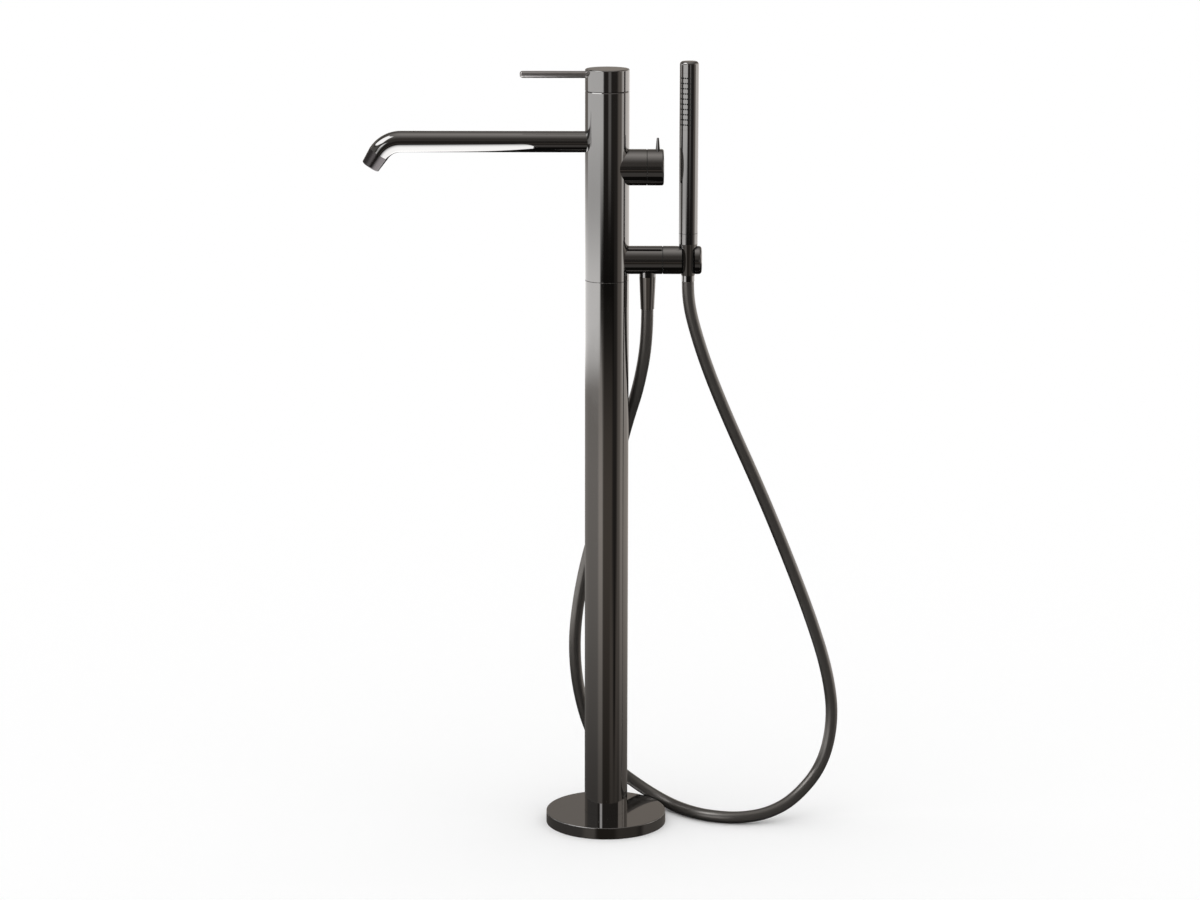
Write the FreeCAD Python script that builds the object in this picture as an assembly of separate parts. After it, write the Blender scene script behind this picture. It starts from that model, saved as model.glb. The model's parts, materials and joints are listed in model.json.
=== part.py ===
import FreeCAD, Part
import math
import os

# Floor standing bath filler. Millimetres, +Z up. The origin is on the floor, on the column's axis.
# The spout points along -X, the outlet arm and the handset stand on the +X side, and -Y is the front.

os.makedirs("parts", exist_ok=True)

V = FreeCAD.Vector
ORIGIN = V(0, 0, 0)
X_AXIS = V(1, 0, 0)
Y_AXIS = V(0, 1, 0)
Z_AXIS = V(0, 0, 1)

# ---- driving dimensions ------------------------------------------------------------------------

# clearances
FIT = 0.1  # between fixed pieces that fit in one another
RUN = 0.05  # radial clearance of a shaft that turns in a bore
CLEAR = 0.3  # between pieces that pass each other
TURN_GAP = 0.7  # seen between a fixed arm and the piece that turns on it

# column, mixer body and head, from the floor up
COLUMN_D = 50.0
COLUMN_WALL = 2.0
BODY_WALL = 3.0
BODY_BOTTOM_Z = 644.5
BODY_LENGTH = 213.7
HEAD_LENGTH = 25.8
JOINT_CHAMFER = 0.4

# base
BASE_D = 140.0
BASE_H = 13.5
BASE_WALL = 2.5
BASE_EDGE_R = 0.8
FLANGE_INSET = 8.0
FLANGE_T = 5.0
FLOOR_BOLT_INSET = 12.0  # from the flange's rim to the bolt holes' axes
FLOOR_BOLT_HOLE_D = 8.5
FLOOR_BOLT_COUNT = 4
INLET_BLOCK_H = 60.0
INLET_THREAD_R = 9.3
INLET_THREAD_DEPTH = 14.0

# supply pipes inside the column
SUPPLY_PIPE_D = 10.0
SUPPLY_BORE_D = 8.0
PIPE_SOCKET_DEPTH = 12.0
ADAPTER_SPIGOT = 20.0
ADAPTER_LENGTH = 27.5

# head and lever
PIVOT_DROP = 15.0  # from the body's top edge down to the lever's pivot
SEAT_GAP = 0.8  # between the domed seat and the head
HEAD_EDGE_R = 1.5
HEAD_CAVITY_WALL = 6.0
HEAD_CEILING_T = 12.0
LIFT_DEG = 20.0
LEVER_DROP = 6.6  # from the head's top down to the lever's axis
LEVER_LENGTH = 73.3  # from the column's face to the tip
LEVER_D = 8.0
LEVER_TIP_EDGE_R = 3.0
LEVER_EMBED = 12.0
STEM_SIZE = 7.4
STEM_ENTRY = 5.5
STEM_BALL_R = 3.0
STEM_BALL_DROP = 10.0
DOME_T = 2.2
DOME_SKIRT_T = 2.6

# cartridge, with heights counted from the lever's pivot
CARTRIDGE_D = 35.0
CARTRIDGE_FLOOR_DROP = 25.2
CARTRIDGE_SHOULDER_DROP = 5.2
COLLAR_R = 14.0
COLLAR_RISE = 5.8
CARRIER_R = 11.0
CARRIER_DROP = 6.2
CARRIER_RISE = 5.3
CARRIER_PIN_R = 1.5
DISC_R = 14.4
DISC_T = 2.0
SLIDER_R = 12.2
MIXING_POCKET_R = 5.8
MIXING_POCKET_X = 1.0
NUT_T = 7.0
PORT_R = 2.0
PORT_PITCH_R = 8.0
PORT_DEG = 150.0  # the hot and cold ports stand this far either side of +X
OUTLET_PORT_X = 4.0
SEAL_T = 1.5
CHANNEL_R = 3.5
CHANNEL_TURN_DROP = 21.0

# spout
SPOUT_DROP = 56.5  # from the body's top edge down to the spout's axis
SPOUT_D = 24.0
SPOUT_WALL = 2.0
SPOUT_LENGTH = 207.5  # straight run from the column's face
SPOUT_BEND_R = 30.0
SPOUT_BEND_DEG = 57.0
AERATOR_LENGTH = 18.0
AERATOR_TIP_D = 21.0
AERATOR_WALL = 2.0
AERATOR_STEP = 1.5
AERATOR_EDGE_R = 1.5
AERATOR_SEAT = 10.0
JET_FORMER_H = 6.5
NIPPLE_R = 9.0
NIPPLE_BORE_R = 5.0
NIPPLE_DEPTH = 11.0
SPOUT_NIPPLE_LENGTH = 20.0
RING_GROOVE_W = 2.2
RING_GROOVE_DEPTH = 1.4

# diverter
DIVERTER_DROP = 85.3  # from the body's top edge down to the diverter's axis
DIVERTER_D = 41.0
DIVERTER_NECK_LENGTH = 19.5
DIVERTER_KNOB_LENGTH = 18.8
DIVERTER_EDGE_R = 2.5
DIVERTER_WALL = 3.5
DIVERTER_PIN_INSET = 6.9  # from the knob's end face to the pin's axis
DIVERTER_PIN_LENGTH = 12.9
DIVERTER_PIN_BASE_D = 5.0
DIVERTER_PIN_TIP_D = 2.6
CHAMBER_R = 6.0
CHAMBER_START_X = 3.0
SEAT_R = 11.0
SEAT_DEPTH = 7.0
SPINDLE_R = 3.0
SPINDLE_WALL = 1.8

# outlet arm and handset holder
ARM_RISE = 22.7  # from the body's bottom edge up to the arm's axis
ARM_D = 32.0
ARM_LENGTH = 37.7
ARM_CHAMBER_R = 9.0
ARM_WALL_END = 12.7  # solid end of the arm that carries the holder's spindle
CRADLE_LENGTH = 44.1
CRADLE_EDGE_R = 3.5
HOLDER_SPINDLE_R = 6.0
HOLDER_SPINDLE_REACH = 15.1
CLIP_T = 1.2
HOSE_SLOT_W = 14.8
LINER_T = 1.2
OUTLET_REACH = 21.0  # from the column's face to the hose outlet's axis
OUTLET_BOSS_D = 19.0
OUTLET_BOSS_H = 3.2
HOSE_NUT_LENGTH = 36.9
HOSE_NUT_BOTTOM_D = 15.6
HOSE_NUT_THREAD = 12.0
HOSE_THREAD_R = 7.7
WASHER_T = 2.0

# handset
HANDSET_REACH = 28.6  # from the cradle's inner face to the handset's axis
HANDSET_D = 21.4
HANDSET_WALL = 2.0
HANDSET_LENGTH = 194.5
HANDSET_EDGE_R = 3.5
HANDSET_SEAM = 0.4
CONE_DROP = 17.2  # from the arm's axis down to the cone nut's lower end
CONE_LENGTH = 36.0
CONE_COLLAR = 12.0
CONE_BOTTOM_D = 15.6
SPRAY_TOP_INSET = 12.5
SPRAY_ROWS = 10
SPRAY_ROW_PITCH = 5.82
SPRAY_MARGIN = 5.8
SPRAY_COLUMNS = 7
SPRAY_COLUMN_DEG = 12.0
SPRAY_HOLE_R = 0.9
SPRAY_HALF_DEG = 52.0
SPRAY_TURN_DEG = 25.0  # the spray face looks this far left of the front

# hose
HOSE_D = 14.0
HOSE_LIE_Z = HOSE_D / 2 + FIT  # height of the centre line where the hose lies on the floor
HOSE_DRAWN_Z = 611.0  # the hose's route is drawn for an outlet nut that ends at this height
HOSE_ARC_SHARE = 0.45
FERRULE_DROP = 7.0
FERRULE_STEM = 22.0
FERRULE_LIP = 0.4

# set screws
SET_SCREW_R = 2.4
SET_SCREW_KEY = 2.5  # across flats
SET_SCREW_KEY_DEPTH = 2.0
COLUMN_SCREW_Z = 35.0
COLUMN_SCREW_BITE = 4.0
COLUMN_SCREW_DEGS = (60.0, 120.0)
HEAD_SCREW_LENGTH = 10.0
KNOB_SCREW_LENGTH = 7.0

# ---- derived dimensions ------------------------------------------------------------------------

COLUMN_R = COLUMN_D / 2
COLUMN_BORE_R = COLUMN_R - COLUMN_WALL
BODY_BORE_R = COLUMN_R - BODY_WALL
CORE_R = BODY_BORE_R - FIT
BLOCK_R = COLUMN_BORE_R - FIT
SUPPLY_OFFSET = BLOCK_R / 2
SOCKET_R = SUPPLY_PIPE_D / 2 + FIT
FLANGE_R = BASE_D / 2 - FLANGE_INSET
FLOOR_BOLT_R = FLANGE_R - FLOOR_BOLT_INSET

BODY_TOP_Z = BODY_BOTTOM_Z + BODY_LENGTH
HEAD_TOP_Z = BODY_TOP_Z + HEAD_LENGTH
HEAD_CEILING_Z = HEAD_TOP_Z - HEAD_CEILING_T
HEAD_CAVITY_R = COLUMN_R - HEAD_CAVITY_WALL
ADAPTER_BOTTOM_Z = BODY_BOTTOM_Z - ADAPTER_SPIGOT
ADAPTER_TOP_Z = ADAPTER_BOTTOM_Z + ADAPTER_LENGTH
PIVOT_Z = BODY_TOP_Z - PIVOT_DROP
PIVOT = V(0, 0, PIVOT_Z)
DOME_R = math.hypot(COLUMN_R, PIVOT_DROP)
LEVER_Z = HEAD_TOP_Z - LEVER_DROP
LEVER_TIP_X = -COLUMN_R - LEVER_LENGTH
STEM_BALL_Z = PIVOT_Z - STEM_BALL_DROP

CARTRIDGE_R = CARTRIDGE_D / 2
CARTRIDGE_FLOOR_Z = PIVOT_Z - CARTRIDGE_FLOOR_DROP
CARTRIDGE_SHOULDER_Z = PIVOT_Z - CARTRIDGE_SHOULDER_DROP
COLLAR_TOP_Z = PIVOT_Z + COLLAR_RISE
CARRIER_BOTTOM_Z = PIVOT_Z - CARRIER_DROP
CARRIER_TOP_Z = PIVOT_Z + CARRIER_RISE
CHANNEL_TURN_Z = CARTRIDGE_FLOOR_Z - CHANNEL_TURN_DROP
MIXED_X = NIPPLE_R  # the mixed water channel stands in line with the diverter's ports

SPOUT_Z = BODY_TOP_Z - SPOUT_DROP
SPOUT_R = SPOUT_D / 2
SPOUT_BORE_R = SPOUT_R - SPOUT_WALL
SPOUT_STRAIGHT_X = -COLUMN_R - SPOUT_LENGTH
AERATOR_BORE_R = AERATOR_TIP_D / 2 - AERATOR_WALL
AERATOR_THROAT_R = AERATOR_BORE_R - AERATOR_STEP
SPOUT_NIPPLE_END_X = -COLUMN_R - SPOUT_NIPPLE_LENGTH
NIPPLE_DEPTH_X = COLUMN_R - NIPPLE_DEPTH

DIVERTER_Z = BODY_TOP_Z - DIVERTER_DROP
DIVERTER_R = DIVERTER_D / 2
DIVERTER_NECK_X = COLUMN_R + DIVERTER_NECK_LENGTH
DIVERTER_KNOB_X = DIVERTER_NECK_X + TURN_GAP
DIVERTER_END_X = DIVERTER_KNOB_X + DIVERTER_KNOB_LENGTH
DIVERTER_PIN_X = DIVERTER_END_X - DIVERTER_PIN_INSET
SEAT_X = COLUMN_R - SEAT_DEPTH
SPINDLE_BORE_R = SPINDLE_R - SPINDLE_WALL / 2

ARM_Z = BODY_BOTTOM_Z + ARM_RISE
ARM_R = ARM_D / 2
ARM_END_X = COLUMN_R + ARM_LENGTH
ARM_CHAMBER_X = ARM_END_X - ARM_WALL_END
CRADLE_X = ARM_END_X + TURN_GAP
CRADLE_END_X = CRADLE_X + CRADLE_LENGTH
HOLDER_SPINDLE_END_X = CRADLE_X + HOLDER_SPINDLE_REACH
SPINDLE_SEAL_X = (ARM_CHAMBER_X + ARM_END_X) / 2
CLIP_X = ARM_CHAMBER_X - CLEAR - CLIP_T
OUTLET_X = COLUMN_R + OUTLET_REACH
OUTLET_BOSS_Z = ARM_Z - ARM_R - OUTLET_BOSS_H
OUTLET_SEAT_Z = ARM_Z - ARM_CHAMBER_R - 1
HOSE_NUT_TOP_Z = OUTLET_BOSS_Z - FIT
HOSE_NUT_BOTTOM_Z = HOSE_NUT_TOP_Z - HOSE_NUT_LENGTH
HOSE_WASHER_Z = HOSE_NUT_TOP_Z - HOSE_NUT_THREAD

HANDSET_X = CRADLE_X + HANDSET_REACH
HANDSET_R = HANDSET_D / 2
HANDSET_BORE_R = HANDSET_R - HANDSET_WALL
CONE_BOTTOM_Z = ARM_Z - CONE_DROP
CONE_TOP_Z = CONE_BOTTOM_Z + CONE_LENGTH
HANDSET_JOINT_Z = CONE_TOP_Z + CONE_COLLAR
HANDSET_TOP_Z = HANDSET_JOINT_Z + HANDSET_LENGTH
SPRAY_HIGH_Z = HANDSET_TOP_Z - SPRAY_TOP_INSET
SPRAY_LOW_Z = SPRAY_HIGH_Z - 2 * SPRAY_MARGIN - (SPRAY_ROWS - 1) * SPRAY_ROW_PITCH
SPRAY_DEG = 270.0 - SPRAY_TURN_DEG
HOSE_FERRULE_Z = CONE_BOTTOM_Z - FERRULE_DROP
FERRULE_FLANGE_Z = CONE_BOTTOM_Z + FERRULE_STEM
HANDSET_WASHER_Z = FERRULE_FLANGE_Z + 3 + FIT


# ---- helpers -----------------------------------------------------------------------------------


def rod(radius, start, end):
    """A cylinder from one point to another."""
    run = end - start
    return Part.makeCylinder(radius, run.Length, start, run)


def upright(radius, low, high, x=0.0, y=0.0):
    return rod(radius, V(x, y, low), V(x, y, high))


def level(radius, x_from, x_to, z):
    """A cylinder along X at the given height."""
    return rod(radius, V(x_from, 0, z), V(x_to, 0, z))


def box(x_from, x_to, y_from, y_to, z_from, z_to):
    corner = V(x_from, y_from, z_from)
    return Part.makeBox(x_to - x_from, y_to - y_from, z_to - z_from, corner)


def turned(profile, centre=ORIGIN, axis=Z_AXIS):
    """Revolve a closed outline of (radius, distance along the axis) points."""
    points = [V(radius, 0, along) for radius, along in profile]
    face = Part.Face(Part.makePolygon(points + points[:1]))
    solid = face.revolve(ORIGIN, Z_AXIS, 360)
    solid.Placement = FreeCAD.Placement(centre, FreeCAD.Rotation(Z_AXIS, axis))
    return solid


def tube(outer, inner, low, high, x=0.0, y=0.0):
    profile = [(inner, low), (outer, low), (outer, high), (inner, high)]
    return turned(profile, V(x, y, 0))


def level_tube(outer, inner, x_from, x_to, z):
    profile = [(inner, x_from), (outer, x_from), (outer, x_to), (inner, x_to)]
    return turned(profile, V(0, 0, z), X_AXIS)


def rounded(solid, radius, centre, edge_radius):
    """Round the circular edge that has the given centre and radius."""
    chosen = []
    for edge in solid.Edges:
        curve = edge.Curve
        if isinstance(curve, Part.Circle) and abs(curve.Radius - edge_radius) < 0.01:
            if curve.Center.distanceToPoint(centre) < 0.01:
                chosen.append(edge)
    return solid.makeFillet(radius, chosen)


def hexagon_prism(across_flats, start, end):
    run = end - start
    radius = across_flats / math.sqrt(3)
    corners = []
    for index in range(6):
        angle = math.radians(60 * index)
        corners.append(V(radius * math.cos(angle), radius * math.sin(angle), 0))
    prism = Part.Face(Part.makePolygon(corners + corners[:1])).extrude(V(0, 0, run.Length))
    prism.Placement = FreeCAD.Placement(start, FreeCAD.Rotation(Z_AXIS, run))
    return prism


def set_screw(tip, outward, length):
    """A headless screw with a hexagon key socket in its outer end."""
    direction = V(outward).normalize()
    end = tip + direction * length
    key = hexagon_prism(SET_SCREW_KEY, end - direction * SET_SCREW_KEY_DEPTH, end + direction)
    return rod(SET_SCREW_R, tip, end).cut(key)


def sector(outer, inner, low, high, middle_deg, half_deg, x):
    """A piece of a tube that spans an angle either side of a direction."""
    wedge = Part.makeCylinder(outer, high - low, V(x, 0, low), Z_AXIS, 2 * half_deg)
    wedge.rotate(V(x, 0, 0), Z_AXIS, middle_deg - half_deg)
    return wedge.cut(upright(inner, low, high, x))


def cone_nut_radius(z):
    """Radius of the handset's cone nut at a height in its taper."""
    share = (z - CONE_BOTTOM_Z) / (CONE_TOP_Z - CONE_BOTTOM_Z)
    return CONE_BOTTOM_D / 2 + share * (HANDSET_R - CONE_BOTTOM_D / 2)


def cone_around_nut(gap, low, high):
    """A solid cone that follows the cone nut's taper at a distance."""
    low_r = cone_nut_radius(low) + gap
    high_r = cone_nut_radius(high) + gap
    return Part.makeCone(low_r, high_r, high - low, V(HANDSET_X, 0, low), Z_AXIS)


def write(node, shape):
    shape.exportStep(f"parts/{node}.step")


# ---- base and column ---------------------------------------------------------------------------


def make_base_cover():
    inner_r = BASE_D / 2 - BASE_WALL
    cover = upright(BASE_D / 2, 0, BASE_H)
    cover = rounded(cover, BASE_EDGE_R, V(0, 0, BASE_H), BASE_D / 2)
    cover = cover.cut(upright(inner_r, 0, BASE_H - BASE_WALL))
    return cover.cut(upright(COLUMN_R + FIT, 0, BASE_H))


def make_cover_seal():
    top = BASE_H - BASE_WALL
    return tube(COLUMN_R + 2 * BASE_WALL, COLUMN_R + FIT, top - BASE_WALL, top)


def make_floor_flange():
    flange = tube(FLANGE_R, BLOCK_R + FIT, 0, FLANGE_T)
    for index in range(FLOOR_BOLT_COUNT):
        angle = math.radians(45 + 360 * index / FLOOR_BOLT_COUNT)
        x = FLOOR_BOLT_R * math.cos(angle)
        y = FLOOR_BOLT_R * math.sin(angle)
        flange = flange.cut(upright(FLOOR_BOLT_HOLE_D / 2, 0, FLANGE_T, x, y))
    return flange


def column_screw_place(degrees):
    """Tip and outward direction of a set screw that holds the column."""
    angle = math.radians(degrees)
    outward = V(math.cos(angle), math.sin(angle), 0)
    tip = outward * (COLUMN_BORE_R - COLUMN_SCREW_BITE) + V(0, 0, COLUMN_SCREW_Z)
    return tip, outward


def column_screw_holes():
    holes = []
    for degrees in COLUMN_SCREW_DEGS:
        tip, outward = column_screw_place(degrees)
        holes.append(rod(SET_SCREW_R + FIT, tip - outward * FIT, tip + outward * COLUMN_R))
    return holes


def make_inlet_block():
    block = upright(BLOCK_R, 0, INLET_BLOCK_H)
    for side in (-1, 1):
        y = side * SUPPLY_OFFSET
        block = block.cut(upright(INLET_THREAD_R, 0, INLET_THREAD_DEPTH, 0, y))
        block = block.cut(upright(SUPPLY_BORE_D / 2, 0, INLET_BLOCK_H, 0, y))
        socket_low = INLET_BLOCK_H - PIPE_SOCKET_DEPTH
        block = block.cut(upright(SOCKET_R, socket_low, INLET_BLOCK_H, 0, y))
    for hole in column_screw_holes():
        block = block.cut(hole)
    return block


def make_column_tube():
    profile = [
        (COLUMN_BORE_R, FLANGE_T),
        (COLUMN_R, FLANGE_T),
        (COLUMN_R, BODY_BOTTOM_Z - JOINT_CHAMFER),
        (COLUMN_R - JOINT_CHAMFER, BODY_BOTTOM_Z),
        (COLUMN_BORE_R, BODY_BOTTOM_Z),
    ]
    column = turned(profile)
    for hole in column_screw_holes():
        column = column.cut(hole)
    return column


def make_column_screws():
    screws = []
    for degrees in COLUMN_SCREW_DEGS:
        tip, outward = column_screw_place(degrees)
        length = COLUMN_WALL + COLUMN_SCREW_BITE - 2 * FIT
        screws.append(set_screw(tip, outward, length))
    return Part.makeCompound(screws)


def make_supply_pipe(side):
    low = INLET_BLOCK_H - PIPE_SOCKET_DEPTH
    high = ADAPTER_TOP_Z + PIPE_SOCKET_DEPTH
    return tube(SUPPLY_PIPE_D / 2, SUPPLY_BORE_D / 2, low, high, 0, side * SUPPLY_OFFSET)


def make_body_adapter():
    inner_r = BODY_BORE_R - BODY_WALL
    profile = [
        (inner_r, ADAPTER_BOTTOM_Z),
        (BLOCK_R, ADAPTER_BOTTOM_Z),
        (BLOCK_R, BODY_BOTTOM_Z),
        (CORE_R, BODY_BOTTOM_Z),
        (CORE_R, ADAPTER_TOP_Z),
        (inner_r, ADAPTER_TOP_Z),
    ]
    return turned(profile)


# ---- mixer body --------------------------------------------------------------------------------


def dome_ball(radius):
    return Part.makeSphere(radius, PIVOT)


def make_body_shell():
    top = PIVOT_Z + math.sqrt(DOME_R**2 - BODY_BORE_R**2)
    profile = [
        (BODY_BORE_R, BODY_BOTTOM_Z),
        (COLUMN_R - JOINT_CHAMFER, BODY_BOTTOM_Z),
        (COLUMN_R, BODY_BOTTOM_Z + JOINT_CHAMFER),
        (COLUMN_R, top),
        (BODY_BORE_R, top),
    ]
    shell = turned(profile)
    rim = upright(COLUMN_R + 1, PIVOT_Z, top + 1)
    shell = shell.cut(rim.cut(dome_ball(DOME_R)))
    shell = shell.cut(level(NIPPLE_R, -COLUMN_R - 1, 0, SPOUT_Z))
    shell = shell.cut(level(SEAT_R, 0, COLUMN_R + 1, DIVERTER_Z))
    return shell.cut(level(NIPPLE_R, 0, COLUMN_R + 1, ARM_Z))


def make_mixer_core():
    """The brass body behind the shell, with its water channels and the cartridge's pocket."""
    core = upright(CORE_R, ADAPTER_TOP_Z, CARTRIDGE_SHOULDER_Z)
    core = core.cut(upright(CARTRIDGE_R, CARTRIDGE_FLOOR_Z, CARTRIDGE_SHOULDER_Z))
    channels = [(0, SUPPLY_OFFSET), (0, -SUPPLY_OFFSET), (MIXED_X, 0)]
    for (x, y), (port_x, port_y) in zip(channels, port_places()):
        low = ADAPTER_TOP_Z if y else ARM_Z
        turn = V(x, y, CHANNEL_TURN_Z)
        port = V(port_x, port_y, CARTRIDGE_FLOOR_Z)
        core = core.cut(upright(CHANNEL_R, low, CHANNEL_TURN_Z, x, y))
        core = core.cut(Part.makeSphere(CHANNEL_R, turn)).cut(rod(PORT_R, turn, port))
    for side in (-1, 1):
        high = ADAPTER_TOP_Z + PIPE_SOCKET_DEPTH
        core = core.cut(upright(SOCKET_R, ADAPTER_TOP_Z, high, 0, side * SUPPLY_OFFSET))
    core = core.cut(upright(CHANNEL_R, DIVERTER_Z, SPOUT_Z, -MIXED_X))
    core = core.cut(level(CHANNEL_R, -MIXED_X, MIXED_X, DIVERTER_Z))
    core = core.cut(level(CHAMBER_R, CHAMBER_START_X - FIT, COLUMN_R, DIVERTER_Z))
    core = core.cut(level(SEAT_R, SEAT_X, COLUMN_R, DIVERTER_Z))
    for z, sign in ((SPOUT_Z, -1), (ARM_Z, 1)):
        core = core.cut(level(NIPPLE_BORE_R, sign * MIXED_X, sign * COLUMN_R, z))
        core = core.cut(level(NIPPLE_R, sign * NIPPLE_DEPTH_X, sign * COLUMN_R, z))
    for x, y in port_places():
        low = CARTRIDGE_FLOOR_Z - SEAL_T
        core = core.cut(upright(seal_outer_r() + FIT, low, CARTRIDGE_FLOOR_Z, x, y))
    return core


def port_places():
    """The cartridge's hot, cold and outlet ports."""
    angle = math.radians(PORT_DEG)
    x = PORT_PITCH_R * math.cos(angle)
    y = PORT_PITCH_R * math.sin(angle)
    return [(x, y), (x, -y), (OUTLET_PORT_X, 0)]


def seal_outer_r():
    return PORT_R + SEAL_T


def make_cartridge_seals():
    low = CARTRIDGE_FLOOR_Z - SEAL_T
    rings = []
    for x, y in port_places():
        rings.append(tube(seal_outer_r(), PORT_R, low, CARTRIDGE_FLOOR_Z, x, y))
    return Part.makeCompound(rings)


def make_cartridge_body():
    disc_low = CARTRIDGE_FLOOR_Z + DISC_T
    profile = [
        (0, CARTRIDGE_FLOOR_Z),
        (CARTRIDGE_R - FIT, CARTRIDGE_FLOOR_Z),
        (CARTRIDGE_R - FIT, CARTRIDGE_SHOULDER_Z),
        (COLLAR_R, CARTRIDGE_SHOULDER_Z),
        (COLLAR_R, COLLAR_TOP_Z),
        (CARRIER_R + RUN, COLLAR_TOP_Z),
        (CARRIER_R + RUN, CARRIER_BOTTOM_Z - CLEAR),
        (DISC_R + FIT, CARRIER_BOTTOM_Z - 2 * CLEAR),
        (DISC_R + FIT, disc_low),
        (0, disc_low),
    ]
    body = turned(profile)
    for x, y in port_places():
        body = body.cut(upright(PORT_R, CARTRIDGE_FLOOR_Z, disc_low, x, y))
    return body


def make_fixed_disc():
    low = CARTRIDGE_FLOOR_Z + DISC_T
    disc = upright(DISC_R, low, low + DISC_T)
    for x, y in port_places():
        disc = disc.cut(upright(PORT_R, low, low + DISC_T, x, y))
    return disc


def make_control_disc():
    """The sliding disc, shut at rest. The stem's ball end works in the socket on top of it.

    The shallow pocket underneath joins the ports as the disc slides towards -X, and it gives
    more of the hot or the cold port as the carrier turns.
    """
    low = CARTRIDGE_FLOOR_Z + 2 * DISC_T + RUN
    top = STEM_BALL_Z + STEM_BALL_R / 2
    disc = upright(SLIDER_R, low, top, slide_travel() / 2)
    half = STEM_BALL_R + CLEAR
    socket = box(-half, half, -half - 1, half + 1, STEM_BALL_Z - STEM_BALL_R - CLEAR, top)
    return disc.cut(socket).cut(upright(MIXING_POCKET_R, low, low + DISC_T, MIXING_POCKET_X))


def slide_travel():
    """How far the stem's ball end carries the sliding disc over the lever's lift."""
    return STEM_BALL_DROP * math.sin(math.radians(LIFT_DEG))


def make_cartridge_carrier():
    carrier = upright(CARRIER_R, CARRIER_BOTTOM_Z, CARRIER_TOP_Z)
    lean = (CARRIER_TOP_Z - PIVOT_Z + STEM_SIZE / 2) * math.tan(math.radians(LIFT_DEG))
    half_x = lean + STEM_SIZE / 2 + CLEAR
    half_y = STEM_SIZE / 2 + CLEAR
    slot = box(-half_x, half_x, -half_y, half_y, CARRIER_BOTTOM_Z, CARRIER_TOP_Z)
    carrier = carrier.cut(slot)
    reach = CARRIER_R - 1
    return carrier.cut(rod(CARRIER_PIN_R + RUN, V(0, -reach, PIVOT_Z), V(0, reach, PIVOT_Z)))


def make_carrier_pin():
    reach = CARRIER_R - 1 - FIT
    return rod(CARRIER_PIN_R, V(0, -reach, PIVOT_Z), V(0, reach, PIVOT_Z))


def make_cartridge_stem():
    half = STEM_SIZE / 2
    neck = STEM_BALL_R - 1
    bar = box(-half, half, -half, half, PIVOT_Z - STEM_BALL_R, HEAD_CEILING_Z + STEM_ENTRY)
    neck_bar = box(-neck, neck, -half, half, STEM_BALL_Z, PIVOT_Z)
    ball = rod(STEM_BALL_R, V(0, -half, STEM_BALL_Z), V(0, half, STEM_BALL_Z))
    stem = bar.fuse(neck_bar).fuse(ball).removeSplitter()
    return stem.cut(rod(CARRIER_PIN_R + RUN, V(0, -half, PIVOT_Z), V(0, half, PIVOT_Z)))


def make_cartridge_nut():
    top = CARTRIDGE_SHOULDER_Z + NUT_T
    nut = tube(CORE_R, COLLAR_R + FIT, CARTRIDGE_SHOULDER_Z, top)
    for index in range(4):
        angle = math.radians(45 + 90 * index)
        middle = (CORE_R + COLLAR_R) / 2
        x = middle * math.cos(angle)
        y = middle * math.sin(angle)
        nut = nut.cut(upright(SET_SCREW_R, top - NUT_T / 2, top, x, y))
    return nut


def make_dome_ring():
    """The domed seat under the head: a spherical cap about the lever's pivot, on a threaded skirt."""
    tallest = PIVOT_Z + DOME_R
    skirt_low = CARTRIDGE_SHOULDER_Z + NUT_T + CLEAR
    blank = upright(CORE_R, skirt_low, tallest).common(dome_ball(DOME_R))
    inside_r = CORE_R - DOME_SKIRT_T
    hollow = dome_ball(DOME_R - DOME_T).common(upright(inside_r, skirt_low, tallest))
    stem_reach = math.radians(LIFT_DEG) + math.asin(STEM_SIZE * math.sqrt(0.5) / DOME_R)
    hole_r = DOME_R * math.sin(stem_reach) + 1
    return blank.cut(hollow).cut(upright(hole_r, skirt_low, tallest))


# ---- head and lever ----------------------------------------------------------------------------


def make_lever_head():
    head = upright(COLUMN_R, BODY_TOP_Z, HEAD_TOP_Z)
    head = rounded(head, HEAD_EDGE_R, V(0, 0, HEAD_TOP_Z), COLUMN_R)
    head = head.cut(dome_ball(DOME_R + SEAT_GAP))
    head = head.cut(upright(HEAD_CAVITY_R, PIVOT_Z, HEAD_CEILING_Z))
    half = STEM_SIZE / 2 + FIT
    stem_top = HEAD_CEILING_Z + STEM_ENTRY + FIT
    head = head.cut(box(-half, half, -half, half, PIVOT_Z, stem_top))
    head = head.cut(level(LEVER_D / 2 + FIT, -COLUMN_R - 1, -LEVER_EMBED, LEVER_Z))
    screw_z = HEAD_CEILING_Z + STEM_ENTRY / 2
    return head.cut(rod(SET_SCREW_R + FIT, V(0, 0, screw_z), V(0, COLUMN_R + 1, screw_z)))


def make_head_set_screw():
    tip = V(0, STEM_SIZE / 2 + FIT, HEAD_CEILING_Z + STEM_ENTRY / 2)
    return set_screw(tip, Y_AXIS, HEAD_SCREW_LENGTH)


def make_lever_pin():
    pin = level(LEVER_D / 2, -LEVER_EMBED - FIT, LEVER_TIP_X, LEVER_Z)
    return rounded(pin, LEVER_TIP_EDGE_R, V(LEVER_TIP_X, 0, LEVER_Z), LEVER_D / 2)


# ---- spout -------------------------------------------------------------------------------------


def spout_end():
    """Centre and direction of the spout where its bend ends."""
    bend = math.radians(SPOUT_BEND_DEG)
    drop = SPOUT_BEND_R * (1 - math.cos(bend))
    centre = V(SPOUT_STRAIGHT_X - SPOUT_BEND_R * math.sin(bend), 0, SPOUT_Z - drop)
    return centre, V(-math.cos(bend), 0, -math.sin(bend))


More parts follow.
